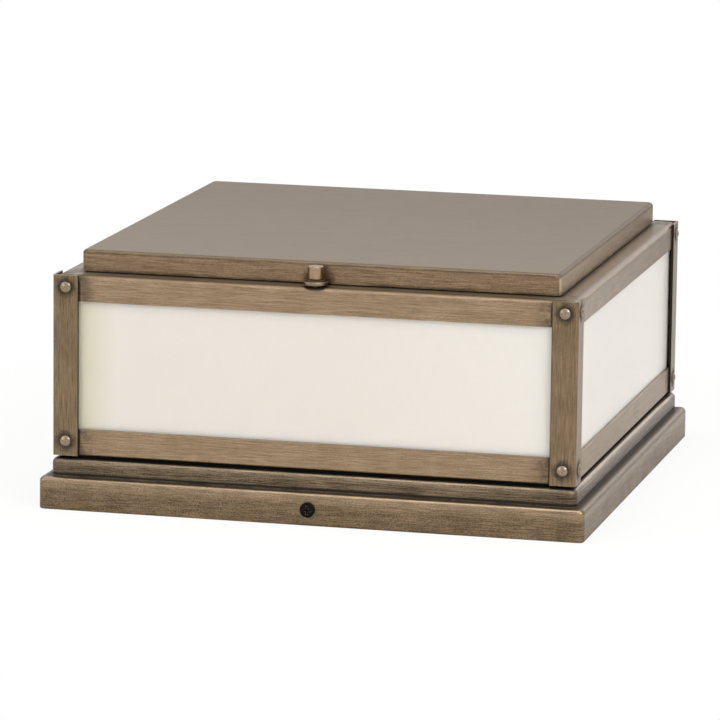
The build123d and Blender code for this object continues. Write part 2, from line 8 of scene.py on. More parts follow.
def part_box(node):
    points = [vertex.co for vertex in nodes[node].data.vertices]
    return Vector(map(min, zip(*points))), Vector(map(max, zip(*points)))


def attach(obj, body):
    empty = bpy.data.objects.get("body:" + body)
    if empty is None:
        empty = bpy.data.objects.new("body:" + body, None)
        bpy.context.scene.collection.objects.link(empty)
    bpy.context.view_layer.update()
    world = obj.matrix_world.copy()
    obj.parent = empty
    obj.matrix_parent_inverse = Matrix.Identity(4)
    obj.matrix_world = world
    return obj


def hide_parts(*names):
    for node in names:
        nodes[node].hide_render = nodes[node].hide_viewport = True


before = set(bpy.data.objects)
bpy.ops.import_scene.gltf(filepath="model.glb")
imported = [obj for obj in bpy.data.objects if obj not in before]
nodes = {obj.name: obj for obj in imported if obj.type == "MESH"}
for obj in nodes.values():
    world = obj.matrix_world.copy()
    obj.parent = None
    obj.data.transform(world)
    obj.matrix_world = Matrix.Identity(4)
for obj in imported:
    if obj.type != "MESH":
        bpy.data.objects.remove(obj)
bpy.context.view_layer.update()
scene = bpy.context.scene
scene.view_settings.view_transform = "Standard"
print("frame loaded:", len(nodes), "nodes")


# Places on the lantern that the finishes are worked out from, in metres
postLow, postHigh = (np.array(end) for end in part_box("corner_post_front_left"))
skirtHigh = np.array(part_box("base_skirt")[1])
stepLow, stepHigh = (np.array(end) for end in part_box("base_step"))
lidLow, lidHigh = (np.array(end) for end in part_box("lid_pan"))
knobLow, knobHigh = (np.array(end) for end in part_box("thumb_screw"))
rivetLow, rivetHigh = (np.array(end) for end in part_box("post_rivets"))
cageHalf = -postLow[0]  # from the middle plane to the outer face of a post
postEdge = -postHigh[0]  # and to the cut edge of its leg
stepHalf, lidHalf = stepHigh[0], lidHigh[0]
postTop, skirtTop, stepTop, lidTop = (high[2] for high in (postHigh, skirtHigh, stepHigh, lidHigh))
knobPlace = (knobLow + knobHigh) / 2


def srgb(red, green, blue):  # a colour as read from a picture, 0 to 255, in Blender's linear values
    values = np.array([red, green, blue]) / 255
    linear = np.where(values <= 0.04045, values / 12.92, ((values + 0.055) / 1.055) ** 2.4)
    return (*linear.tolist(), 1.0)


def dimmed(colour, share):  # a colour with its parts times a share, or times one share each
    return (*(np.array(colour[:3]) * share).tolist(), 1.0)


# Short ways to put nodes into a tree: a socket given as a value is linked, anything else is set
def put(tree, kind, inputs=None, **settings):
    node = tree.nodes.new(kind)
    for name, value in settings.items():
        setattr(node, name, value)
    for name, value in (inputs or {}).items():
        if isinstance(value, bpy.types.NodeSocket):
            tree.links.new(value, node.inputs[name])
        else:
            node.inputs[name].default_value = value
    return node


def calc(tree, operation, *values):  # one Math node
    return put(tree, "ShaderNodeMath", dict(enumerate(values)), operation=operation).outputs[0]


def calcVector(tree, operation, *values):  # one Vector Math node, with its outputs Vector and Value
    return put(tree, "ShaderNodeVectorMath", dict(enumerate(values)), operation=operation).outputs


def times(tree, first, *others):  # the product of masks and shares
    for other in others:
        first = calc(tree, "MULTIPLY", first, other)
    return first


def ramp(tree, value, low, high, toLow=0.0, toHigh=1.0):  # smooth step from toLow at low to toHigh at high
    ends = {"Value": value, "From Min": low, "From Max": high, "To Min": toLow, "To Max": toHigh}
    return put(tree, "ShaderNodeMapRange", ends, interpolation_type="SMOOTHSTEP").outputs["Result"]


# The same step, over a span of two distances counted from a level
def rampFrom(tree, value, level, span, toLow=0.0, toHigh=1.0):
    return ramp(tree, value, level + span[0], level + span[1], toLow, toHigh)


def blendColours(tree, mask, first, second):  # first where the mask is 0, second where it is 1
    return put(tree, "ShaderNodeMix", {0: mask, 6: first, 7: second}, data_type="RGBA").outputs[2]


def noise(tree, vector, scale, detail=3.0, roughness=0.6):
    inputs = {"Vector": vector, "Scale": scale, "Detail": detail, "Roughness": roughness}
    return put(tree, "ShaderNodeTexNoise", inputs).outputs["Fac"]


# Noise that breaks up a mask, from least to most
def ragged(tree, place, scale, span, least, most=1.0, detail=4.0, roughness=0.6):
    return ramp(tree, noise(tree, place, scale, detail, roughness), *span, least, most)


def split(tree, vector):
    return put(tree, "ShaderNodeSeparateXYZ", {0: vector}).outputs


def join(tree, *parts):
    return put(tree, "ShaderNodeCombineXYZ", dict(enumerate(parts))).outputs[0]


def newGroup(name, inputs, outputs):  # a node group; a start value that is no single number makes a vector
    group = bpy.data.node_groups.new(name, "ShaderNodeTree")
    for label, value in inputs.items():
        kind = "NodeSocketFloat" if isinstance(value, float) else "NodeSocketVector"
        socket = group.interface.new_socket(label, in_out="INPUT", socket_type=kind)
        if value is not None:
            socket.default_value = value
    for label in outputs:
        group.interface.new_socket(label, in_out="OUTPUT", socket_type="NodeSocketFloat")
    start = group.nodes.new("NodeGroupInput")
    end = group.nodes.new("NodeGroupOutput")
    return group, start.outputs, end.inputs


def useGroup(tree, group, **inputs):
    given = {name.capitalize(): value for name, value in inputs.items()}
    return put(tree, "ShaderNodeGroup", given, node_tree=group).outputs


def ownUp(tree):  # how far a face looks up by the piece's own normal, which doesn't turn with the piece
    return split(tree, put(tree, "ShaderNodeTexCoord").outputs["Normal"])["Z"]


def halfPlaces(tree, place):  # distances from the two middle planes, across and along
    parts = split(tree, place)
    return calc(tree, "ABSOLUTE", parts["X"]), calc(tree, "ABSOLUTE", parts["Y"])


# Places in the plan: the larger and the smaller of the distances from the middle planes, and Sides, which
# is 1 left and right of the plan's diagonals and 0 in front and behind
def planGroup():
    group, given, result = newGroup("planPlace", {"Vector": None}, ["Outer", "Inner", "Sides"])
    halves = halfPlaces(group, given["Vector"])
    for label, operation in (("Outer", "MAXIMUM"), ("Inner", "MINIMUM"), ("Sides", "GREATER_THAN")):
        group.links.new(calc(group, operation, *halves), result[label])
    return group


brushLook = {
    "detail": 4.0,
    "roughness": 0.72,
    "strokeSpan": (0.3, 0.7),
    "strokeShare": 0.4,  # strokes, scratches and pits add up to the grain
    "scratchScale": 2.3,  # scratches to a stroke
    "scratchSpan": (0.32, 0.68),
    "scratchShare": 0.25,
    "pitScale": 2600.0,
    "pitDetail": 2.0,
    "pitSpan": (0.3, 0.7),
    "pitShare": 0.35,
    "deepDetail": 2.0,  # the few long scratches
    "deepRoughness": 0.5,
    "deepSpan": (0.58, 0.74),
    "levelSpan": (0.35, 0.9),  # upward share of the normal, from upright to level
    "levelGrain": 0.45,  # share of the grain that is left on level faces
    "levelTurn": 0.7,  # past this, strokes run along X
}


# Brushing: noise drawn out along the stroke in two sizes, with fine pitting, and a few long scratches apart.
# Level faces are polished, so there the strokes run along X and the grain fades towards its middle value.
def brushingGroup():
    starts = {"Vector": None, "Stretch": (200.0, 200.0, 1400.0), "Length": (0.08, 0.08, 1.0)}
    group, given, result = newGroup("brushing", starts, ["Grain", "Scratch", "Deep"])
    level = calc(group, "ABSOLUTE", ownUp(group))
    upright = ramp(group, level, *brushLook["levelSpan"], 1.0, brushLook["levelGrain"])
    share = split(group, given["Stretch"])
    finest = calc(group, "MAXIMUM", share["Y"], share["Z"])
    coarsest = calc(group, "MINIMUM", share["X"], share["Z"])
    alongX = join(group, coarsest, finest, finest)
    ends = {0: calc(group, "GREATER_THAN", level, brushLook["levelTurn"]), 4: given["Stretch"], 5: alongX}
    stretch = put(group, "ShaderNodeMix", ends, data_type="VECTOR").outputs[1]
    drawn = calcVector(group, "MULTIPLY", given["Vector"], stretch)["Vector"]
    fine = (brushLook["detail"], brushLook["roughness"])
    stroke = ramp(group, noise(group, drawn, 1.0, *fine), *brushLook["strokeSpan"])
    scratch = ramp(group, noise(group, drawn, brushLook["scratchScale"], *fine), *brushLook["scratchSpan"])
    pits = noise(group, given["Vector"], brushLook["pitScale"], brushLook["pitDetail"])
    pits = ramp(group, pits, *brushLook["pitSpan"])
    grain = times(group, scratch, brushLook["scratchShare"])
    grain = calc(group, "MULTIPLY_ADD", stroke, brushLook["strokeShare"], grain)
    grain = calc(group, "MULTIPLY_ADD", pits, brushLook["pitShare"], grain)
    for label, value in (("Grain", grain), ("Scratch", scratch)):
        faded = calc(group, "MULTIPLY_ADD", calc(group, "SUBTRACT", value, 0.5), upright, 0.5)
        group.links.new(faded, result[label])
    drawnFar = calcVector(group, "MULTIPLY", drawn, given["Length"])["Vector"]
    deep = noise(group, drawnFar, 1.0, brushLook["deepDetail"], brushLook["deepRoughness"])
    deep = ramp(group, deep, *brushLook["deepSpan"])
    group.links.new(times(group, deep, upright), result["Deep"])
    return group


patchLook = {
    "detail": 5.0,
    "roughness": 0.65,
    "bare": 0.85,  # noise past which it is dark at an amount of 0
    "spread": 0.5,  # how far an amount of 1 lowers that
    "fade": 0.25,
}


# Darkened patches: one cloudy noise, thinned by the amount
def patchesGroup():
    group, given, result = newGroup("darkPatches", {"Vector": None, "Scale": 30.0, "Amount": 0.4}, ["Mask"])
    cloud = noise(group, given["Vector"], given["Scale"], patchLook["detail"], patchLook["roughness"])
    start = calc(group, "SUBTRACT", patchLook["bare"], times(group, given["Amount"], patchLook["spread"]))
    dark = ramp(group, cloud, start, calc(group, "ADD", start, patchLook["fade"]))
    group.links.new(dark, result["Mask"])
    return group


haloLook = {
    "noiseScale": 420.0,
    "noiseReach": 0.004,
}


# Closeness to a fastener: 1 at its head's rim, 0 at Reach, ragged by noise
def haloGroup():
    starts = {"Vector": None, "Centre": None, "Rim": 0.003, "Reach": 0.007}
    group, given, result = newGroup("fastenerHalo", starts, ["Mask"])
    gap = calcVector(group, "DISTANCE", given["Vector"], given["Centre"])["Value"]
    stray = calc(group, "SUBTRACT", noise(group, given["Vector"], haloLook["noiseScale"]), 0.5)
    distance = calc(group, "MULTIPLY_ADD", stray, haloLook["noiseReach"], gap)
    group.links.new(ramp(group, distance, given["Rim"], given["Reach"], 1.0, 0.0), result["Mask"])
    return group


edgeLook = {
    "samples": 6,
    "turnSpan": (0.01, 0.2),  # 1 less the cosine between the two normals
    "breaks": {"scale": 260.0, "span": (0.35, 0.62), "least": 0.0},
}


# Rubbed edges: how far a rounded normal turns away from the face's own
def rubbedEdgeGroup():
    group, given, result = newGroup("rubbedEdge", {"Vector": None, "Radius": 0.0006}, ["Mask"])
    rounded = put(group, "ShaderNodeBevel", {"Radius": given["Radius"]}, samples=edgeLook["samples"])
    own = put(group, "ShaderNodeNewGeometry").outputs["Normal"]
    turn = calcVector(group, "DOT_PRODUCT", rounded.outputs[0], own)["Value"]
    edge = ramp(group, calc(group, "SUBTRACT", 1.0, turn), *edgeLook["turnSpan"])
    broken = ragged(group, given["Vector"], **edgeLook["breaks"])
    group.links.new(times(group, edge, broken), result["Mask"])
    return group


highlightBreaksLook = {
    "breaks": {"scale": 40.0, "span": (0.25, 0.6), "least": 0.6},
}


# Painted highlight near a piece's top: 0 at the height Start, Share from End upwards, broken up by noise
def rubbedTopGroup():
    starts = {"Vector": None, "Start": 0.0, "End": 0.01, "Share": 0.2}
    group, given, result = newGroup("paintedTopHighlight", starts, ["Mask"])
    height = split(group, given["Vector"])["Z"]
    grown = ramp(group, height, given["Start"], given["End"], 0.0, given["Share"])
    broken = ragged(group, given["Vector"], **highlightBreaksLook["breaks"])
    group.links.new(times(group, grown, broken), result["Mask"])
    return group


dustLook = {
    "upSpan": (0.3, 1.0),  # upward share of the normal
    "breaks": {"scale": 900.0, "span": (0.45, 0.75), "least": 0.0, "roughness": 0.75},
}


# Dust: fine noise that lies on what faces up
def dustGroup():
    group, given, result = newGroup("dust", {"Vector": None, "Amount": 0.3}, ["Mask"])
    flecks = ragged(group, given["Vector"], **dustLook["breaks"])
    lying = times(group, ramp(group, ownUp(group), *dustLook["upSpan"]), flecks, given["Amount"])
    group.links.new(lying, result["Mask"])
    return group


planPlace = planGroup()
brushing = brushingGroup()
darkPatches = patchesGroup()
fastenerHalo = haloGroup()
rubbedEdge = rubbedEdgeGroup()
paintedTopHighlight = rubbedTopGroup()
dust = dustGroup()
print("shared finishes built:", len(bpy.data.node_groups))


def newMaterial(name, constants):  # a material with its tree, its shader and its object coordinates
    material = bpy.data.materials.new(name)
    material.use_nodes = True
    tree = material.node_tree
    shader = tree.nodes["Principled BSDF"]
    for label, value in constants.items():
        shader.inputs[label].default_value = value
    place = put(tree, "ShaderNodeTexCoord").outputs["Object"]
    return material, tree, shader, place


def setBump(tree, shader, height, distance):
    node = put(tree, "ShaderNodeBump", {"Height": height, "Distance": distance, "Strength": 1.0})
    tree.links.new(node.outputs[0], shader.inputs["Normal"])


def paint(material, *names):
    for name in names:
        slots = nodes[name].data.materials
        slots.clear()
        slots.append(material)


def byFace(tree, sides, front, side):  # one share in front and behind, another left and right
    return ramp(tree, sides, 0.0, 1.0, front, side)


bronzeLook = {
    "light": srgb(180, 156, 128),  # crest of a brush stroke
    "deep": srgb(124, 103, 80),  # between strokes
    "olive": (0.98, 1.04, 0.9),  # share of the deep colour in greener clouds
    "patina": srgb(36, 26, 16),  # oxide left in corners, also the colour of the painted shade in corners and gaps
    "black": srgb(12, 10, 8),  # near-black painted shade, on cut faces and in shadow lines
    "rubbed": srgb(208, 188, 162),  # bare metal on edges, also the colour of painted highlights and sheen
    "along": 60.0,  # noise cells a metre along a stroke
    "across": 3600.0,  # and across it
    "longer": 0.25,  # the same along a long scratch, as a share of those along a stroke
    "brushDepth": 0.000012,
    "darkDepth": 0.5,  # how far oxide lies below the grain's crest, as a share of that depth
    "cloudScale": 70.0,
    "cloudSpan": (0.35, 0.7),
    "patchScale": 26.0,
    "patchShare": 0.4,
    "scratchShare": 0.3,  # oxide in the long scratches
    "crestDark": 0.85,  # oxide left on the crest of a stroke
    "edgeShare": 0.6,
    "scratchRoughness": 0.1,
    "darkRoughness": 0.25,
    "darkMetal": 0.5,
    # What a piece's own dictionary may set otherwise
    "upright": False,  # brushed along Z
    "tone": (1.0, 1.0, 1.0),  # dims the whole piece
    "contrast": 1.0,  # steepens the grain
    "depth": 1.0,  # darkens what lies between strokes
    "clouds": 0.3,
    "patches": 0.3,
    "oxide": 0.0,  # darkening all over
    "edge": 0.0006,
    "roughness": 0.25,
    "tint": (0.93, 0.94, 0.95, 1.0),  # share of the mirror left where a face is seen edge-on
}


# Brushed and darkened bronze. darkMasks gives the oxide and the painted shade that belong to the piece's own
# place, rubbedAndSheenMask where hands have rubbed it bright and where highlights and sheen are painted, and
# paintedShadowMask the near-black painted shade on cut faces and in shadow lines.
def bronze(name, ownLook, darkMasks=None, rubbedAndSheenMask=None, paintedShadowMask=None):
    look = {**bronzeLook, **ownLook}
    material, tree, shader, place = newMaterial(name, {"Specular Tint": look["tint"]})
    along, across, longer = look["along"], look["across"], look["longer"]
    stretch = (across, across, along) if look["upright"] else (along, along, across)
    length = (1.0, 1.0, longer) if look["upright"] else (longer, longer, 1.0)
    strokes = useGroup(tree, brushing, vector=place, stretch=stretch, length=length)
    half = 0.5 / look["contrast"]
    grain = rampFrom(tree, strokes["Grain"], 0.5, (-half, half))
    deep = dimmed(look["deep"], np.array(look["tone"]) * look["depth"])
    colour = blendColours(tree, grain, deep, dimmed(look["light"], look["tone"]))
    clouds = ramp(tree, noise(tree, place, look["cloudScale"]), *look["cloudSpan"], 0.0, look["clouds"])
    colour = blendColours(tree, clouds, colour, dimmed(deep, look["olive"]))
    if rubbedAndSheenMask:
        colour = blendColours(tree, rubbedAndSheenMask(tree, place), colour, look["rubbed"])
    patches = useGroup(tree, darkPatches, vector=place, scale=look["patchScale"], amount=look["patches"])
    dark = times(tree, patches["Mask"], look["patchShare"])
    masks = [times(tree, strokes["Deep"], look["scratchShare"]), look["oxide"]]
    masks += darkMasks(tree, place) if darkMasks else []
    for mask in masks:
        dark = calc(tree, "MAXIMUM", dark, mask)
    dark = times(tree, dark, ramp(tree, grain, 0.0, 1.0, 1.0, look["crestDark"]))
    colour = blendColours(tree, dark, colour, look["patina"])
    worn = useGroup(tree, rubbedEdge, vector=place, radius=look["edge"])["Mask"]
    colour = blendColours(tree, times(tree, worn, look["edgeShare"]), colour, look["rubbed"])
    if paintedShadowMask:
        black = paintedShadowMask(tree, place)
        colour = blendColours(tree, black, colour, look["black"])
        dark = calc(tree, "MAXIMUM", dark, black)
    tree.links.new(colour, shader.inputs["Base Color"])
    rough = calc(tree, "MULTIPLY_ADD", strokes["Scratch"], look["scratchRoughness"], look["roughness"])
    rough = calc(tree, "MULTIPLY_ADD", dark, look["darkRoughness"], rough)
    tree.links.new(rough, shader.inputs["Roughness"])
    tree.links.new(ramp(tree, dark, 0.0, 1.0, 1.0, look["darkMetal"]), shader.inputs["Metallic"])
    height = calc(tree, "SUBTRACT", grain, times(tree, dark, look["darkDepth"]))
    setBump(tree, shader, height, look["brushDepth"])
    return material


def highlightNearTop(top, look):  # makes the painted highlight mask of a piece from its top and its dictionary
    def mask(tree, place):
        start, end = (top + distance for distance in look["rubbedSpan"])
        share = look["rubbedShare"]
        return useGroup(tree, paintedTopHighlight, vector=place, start=start, end=end, share=share)["Mask"]
    return mask


# In the dictionaries below, a span is a pair of distances counted from a level or a face of the piece
postLook = {
    "pieces": ["corner_post_front_left", "corner_post_front_right",
               "corner_post_rear_right", "corner_post_rear_left"],
    "upright": True,
    "tone": (0.69, 0.68, 0.66),
    "contrast": 2.2,
    "depth": 0.85,
    "tint": (1.0, 1.0, 1.0, 1.0),
    "rivetInset": 0.007,  # from the post's corner to the middle of a rivet
    "rivetHead": 0.0028,
    "haloReach": 0.0072,
    "cutSpan": (0.0001, 0.0004),  # painted shade on the cut faces, from the cut edge
    "cutShare": 0.95,
}


def postCutShade(tree, place):  # near-black painted shade on the cut faces of a post's two legs
    inner = useGroup(tree, planPlace, vector=place)["Inner"]
    return rampFrom(tree, inner, postEdge, postLook["cutSpan"], postLook["cutShare"], 0.0)


# Dark halos round the two rivets of each leg, with the place mirrored into one quarter of the plan, so that
# the four posts share them
def postHalos(tree, place):
    quarter = join(tree, *halfPlaces(tree, place), split(tree, place)["Z"])
    head, reach = postLook["rivetHead"], postLook["haloReach"]
    near = cageHalf - postLook["rivetInset"]
    masks = []
    for level in (rivetLow[2] + head, rivetHigh[2] - head):
        for centre in ((near, cageHalf, level), (cageHalf, near, level)):
            halo = useGroup(tree, fastenerHalo, vector=quarter, centre=centre, rim=head, reach=reach)
            masks.append(halo["Mask"])
    return masks


railLook = {
    "pieces": ["bottom_frame", "top_frame"],
    "tone": (0.97, 0.97, 0.97),
    "contrast": 1.5,
    "depth": 0.95,
    "shadeSpan": (-0.012, -0.0005),  # towards a post's edge
    "shadeShare": 0.75,
    "shadeBreaks": {"scale": 150.0, "span": (0.25, 0.6), "least": 0.0, "detail": 5.0, "roughness": 0.7},
    "creviceSpan": (-0.0016, -0.0006),  # the line right beside that edge
    "creviceTop": (-0.0034, -0.002),  # and its end, from the posts' top
    "ledgeSpan": (0.0012, 0.0048),  # painted shade on the ledge beside the lid, from the lid's face
    "ledgeShare": 0.65,
    "crestHeight": (-0.0026, -0.0006),  # the bend between face and ledge, from the posts' top
    "crestShare": 0.45,
    "crestSpan": (0.006, 0.0095),  # the same bend, from the lid's face
    "crestInside": 0.25,  # what is left of its dark on the ledge
    "crestFront": 0.8,  # and in front and behind
    "rearSpan": (-0.12, 0.13),  # painted shade on the left and right, deepening from front to rear, in metres along Y
    "rearHeight": (0.09, 0.1),  # above this, which is the top frame alone
    "rearShare": 0.33,
    "rubbedHeight": (-0.0014, -0.0006),  # the ledge, from the posts' top
    "rubbedSpan": (0.0055, 0.008),  # and from the lid's face
    "rubbedShare": 0.7,
}


# Rails darken towards the posts and at their bend, with painted shade on the ledge beside the lid and,
# on the left and right, painted shade that deepens to the rear
def railDark(tree, place):
    look = railLook
    parts = split(tree, place)
    plan = useGroup(tree, planPlace, vector=place)
    shade = times(tree, rampFrom(tree, plan["Inner"], postEdge, look["shadeSpan"]),
                  ragged(tree, place, **look["shadeBreaks"]), look["shadeShare"])
    crevice = times(tree, rampFrom(tree, plan["Inner"], postEdge, look["creviceSpan"]),
                    rampFrom(tree, parts["Z"], postTop, look["creviceTop"], 1.0, 0.0))
    ledge = rampFrom(tree, plan["Outer"], lidHalf, look["ledgeSpan"], look["ledgeShare"], 0.0)
    crest = times(tree, rampFrom(tree, parts["Z"], postTop, look["crestHeight"], 0.0, look["crestShare"]),
                  rampFrom(tree, plan["Outer"], lidHalf, look["crestSpan"], look["crestInside"], 1.0),
                  byFace(tree, plan["Sides"], look["crestFront"], 1.0))
    rear = times(tree, ramp(tree, parts["Y"], *look["rearSpan"], 0.0, look["rearShare"]),
                 ramp(tree, parts["Z"], *look["rearHeight"]), plan["Sides"])
    return [shade, crevice, ledge, crest, rear]


def railRubbed(tree, place):  # the ledge in front, where fingers reach for the thumb screw, and behind
    look = railLook
    plan = useGroup(tree, planPlace, vector=place)
    level = rampFrom(tree, split(tree, place)["Z"], postTop, look["rubbedHeight"])
    beside = rampFrom(tree, plan["Outer"], lidHalf, look["rubbedSpan"], look["rubbedShare"], 0.0)
    return times(tree, level, beside, byFace(tree, plan["Sides"], 1.0, 0.0))


lidLook = {
    "pieces": ["lid_pan"],
    "tone": (0.93, 0.91, 0.89),
    "contrast": 2.2,
    "depth": 0.86,
    "clouds": 0.12,
    "patches": 0.1,
    "edge": 0.0002,
    "tint": (0.62, 0.63, 0.64, 1.0),
    "wallTop": (-0.0022, -0.0002),  # where the walls end, from the lid's top
    "wallSpan": (-0.003, -0.0015),  # and how thick they count, from the lid's face
    "wallShare": 0.26,
    "footSpan": (0.0, 0.0024),  # from the lower edge
    "footBreaks": {"scale": 60.0, "span": (0.3, 0.65), "least": 0.3, "most": 0.9},
    "rimTop": (-0.0026, -0.0016),  # the bend between wall and top, from the lid's top
    "rimSpan": (-0.0022, -0.0012),  # and from its face
    "rimShare": 0.62,
    "shadeOffset": (0.0, 0.006, -0.0015),  # from the thumb screw's middle to that of the painted shade behind it
    "shadeRim": 0.005,
    "shadeReach": 0.0125,
    "shadeShare": 0.9,
    "flatSpan": (-0.0015, -0.0003),  # the flat top, from its level
    "topSheen": (0.2, 0.0),  # painted sheen on the top, at the front and the rear edge
    # painted sheen on the left and right walls, at the front and the rear edge
    "sideSheen": (0.44, 0.16),
}


def lidWall(tree, place):  # 1 on the lid's upright walls outside, 0 on its top and its underside
    outer = useGroup(tree, planPlace, vector=place)["Outer"]
    below = rampFrom(tree, split(tree, place)["Z"], lidTop, lidLook["wallTop"], 1.0, 0.0)
    return times(tree, below, rampFrom(tree, outer, lidHalf, lidLook["wallSpan"]))


# The lid darkens at its foot, on its front and rear walls, at its bend and, as painted shade, behind the
# thumb screw
def lidDark(tree, place):
    look = lidLook
    height = split(tree, place)["Z"]
    plan = useGroup(tree, planPlace, vector=place)
    foot = times(tree, rampFrom(tree, height, lidLow[2], look["footSpan"], 1.0, 0.0),
                 ragged(tree, place, **look["footBreaks"]))
    wall = times(tree, lidWall(tree, place), byFace(tree, plan["Sides"], look["wallShare"], 0.0))
    rim = times(tree, rampFrom(tree, height, lidTop, look["rimTop"]),
                rampFrom(tree, plan["Outer"], lidHalf, look["rimSpan"], 0.0, look["rimShare"]))
    centre = tuple(knobPlace + np.array(look["shadeOffset"]))
    rimAndReach = {"rim": look["shadeRim"], "reach": look["shadeReach"]}
    behind = useGroup(tree, fastenerHalo, vector=place, centre=centre, **rimAndReach)
    return [foot, wall, rim, times(tree, behind["Mask"], look["shadeShare"])]


def lidSheen(tree, place):  # painted sheen on the top and the left and right walls, brighter towards the front where the thumb screw is
    parts = split(tree, place)
    sides = useGroup(tree, planPlace, vector=place)["Sides"]
    top = times(tree, ramp(tree, parts["Y"], lidLow[1], lidHigh[1], *lidLook["topSheen"]),
                rampFrom(tree, parts["Z"], lidTop, lidLook["flatSpan"]))
    side = times(tree, ramp(tree, parts["Y"], lidLow[1], lidHigh[1], *lidLook["sideSheen"]),
                 sides, lidWall(tree, place))
    return calc(tree, "ADD", top, side)


skirtLook = {
    "pieces": ["base_skirt"],
    "tone": (0.77, 0.76, 0.72),
    "contrast": 2.6,
    "depth": 0.68,
    "tint": (0.97, 0.99, 1.0, 1.0),
    "ledgeSpan": (0.0014, 0.003),  # oxide and painted shade on the ledge, from the step's face
    "ledgeShare": 0.95,
    "footHeight": 0.009,  # painted shade towards the foot, full up to here
    "footFade": 0.003,  # and gone at this distance below the top
    "footShare": 0.32,
    "footBreaks": {"scale": 45.0, "span": (0.3, 0.68), "least": 0.25, "detail": 6.0, "roughness": 0.75},
    "crestHeight": (-0.0034, -0.0012),  # painted shade on the side bends, from the top
    "crestShare": 0.5,
    "rubbedSpan": (-0.0085, -0.0015),  # painted highlight below the top, from the top
    "rubbedShare": 0.17,
}


# The skirt darkens with oxide and painted shade on its ledge where the step stands, and with painted shade
# on its walls towards the foot and at its side bends
def skirtDark(tree, place):
    look = skirtLook
    height = split(tree, place)["Z"]
    plan = useGroup(tree, planPlace, vector=place)
    ledge = rampFrom(tree, plan["Outer"], stepHalf, look["ledgeSpan"], 1.0, 0.0)
    foot = ramp(tree, height, look["footHeight"], skirtTop - look["footFade"], look["footShare"], 0.0)
    foot = times(tree, foot, ragged(tree, place, **look["footBreaks"]))
    crest = rampFrom(tree, height, skirtTop, look["crestHeight"], 0.0, look["crestShare"])
    return [times(tree, ledge, look["ledgeShare"]), foot, times(tree, crest, plan["Sides"])]


stepLook = {
    "pieces": ["base_step"],
    "tone": (0.6, 0.61, 0.63),
    "contrast": 3.6,
    "depth": 0.32,
    "patches": 0.4,
    "tint": (1.0, 1.0, 1.0, 1.0),
    "lipSpan": (0.0, 0.0036),  # painted shade at the lip, from the lower edge
    "lipShares": (0.3, 0.7),  # in front and behind, and left and right
    "lineFoot": (0.0005, 0.0009),  # where the painted shadow line above the lip begins, from the skirt's top
    "lineTop": (0.0014, 0.0022),  # and where it ends
    "lineShare": 0.95,
    "topSpan": (-0.0024, -0.0016),  # painted shade on the top under the cage, from the cage's face
    "cornerReach": 0.03,
    "cornerShare": 0.5,
    "cornerBreaks": {"scale": 60.0, "span": (0.3, 0.68), "least": 0.3, "detail": 6.0, "roughness": 0.75},
    "rubbedSpan": (-0.0044, -0.0015),  # painted highlight below the top, from the top
    "rubbedShare": 0.14,
}


def stepShadowLine(tree, place):  # a painted shadow line above the step's lower lip
    height = split(tree, place)["Z"]
    return times(tree, rampFrom(tree, height, skirtTop, stepLook["lineFoot"], 0.0, stepLook["lineShare"]),
                 rampFrom(tree, height, skirtTop, stepLook["lineTop"], 1.0, 0.0))


def stepDark(tree, place):  # the step darkens with painted shade at its lip and on its top under the cage, and towards its corners
    look = stepLook
    plan = useGroup(tree, planPlace, vector=place)
    lip = times(tree, rampFrom(tree, split(tree, place)["Z"], stepLow[2], look["lipSpan"], 1.0, 0.0),
                byFace(tree, plan["Sides"], *look["lipShares"]))
    top = rampFrom(tree, plan["Outer"], cageHalf, look["topSpan"], 1.0, 0.0)
    corner = times(tree, ramp(tree, plan["Inner"], cageHalf - look["cornerReach"], cageHalf),
                   ragged(tree, place, **look["cornerBreaks"]), look["cornerShare"])
    return [lip, top, corner]


fittingLooks = {
    "hingeBronze": {
        "pieces": ["hinge_leaf_frame", "hinge_leaf_lid", "hinge_pin",
                   "hinge_rivets_frame", "hinge_rivets_lid"],
        "tone": (0.8, 0.8, 0.8),
        "patches": 0.5,
        "edge": 0.0003,
    },
    "rivetBronze": {
        "pieces": ["post_rivets"],
        "upright": True,
        "tone": (0.88, 0.95, 1.08),
        "patches": 0.1,
        "edge": 0.0003,
        "roughness": 0.2,
    },
    "knobBronze": {
        "pieces": ["thumb_screw"],
        "upright": True,
        "tone": (1.08, 1.08, 1.14),
        "patches": 0.1,
        "edge": 0.0003,
        "roughness": 0.17,
    },
    "earBronze": {
        "pieces": ["latch_ear"],
        "tone": (0.76, 0.81, 0.92),
        "patches": 0.5,
        "edge": 0.0005,
        "roughness": 0.17,
    },
    # darkened all over as painted shade under the thumb screw's head
    "washerBronze": {
        "pieces": ["thumb_washer"],
        "tone": (0.6, 0.6, 0.6),
        "oxide": 0.5,
        "edge": 0.0001,
    },
}

paint(bronze("postBronze", postLook, postHalos, paintedShadowMask=postCutShade), *postLook["pieces"])
paint(bronze("railBronze", railLook, railDark, railRubbed), *railLook["pieces"])
paint(bronze("lidBronze", lidLook, lidDark, lidSheen), *lidLook["pieces"])
paint(bronze("skirtBronze", skirtLook, skirtDark, highlightNearTop(skirtTop, skirtLook)), *skirtLook["pieces"])
paint(bronze("stepBronze", stepLook, stepDark, highlightNearTop(stepTop, stepLook), stepShadowLine), *stepLook["pieces"])
for name, look in fittingLooks.items():
    paint(bronze(name, look), *look["pieces"])
print("bronze laid on the sheet work")


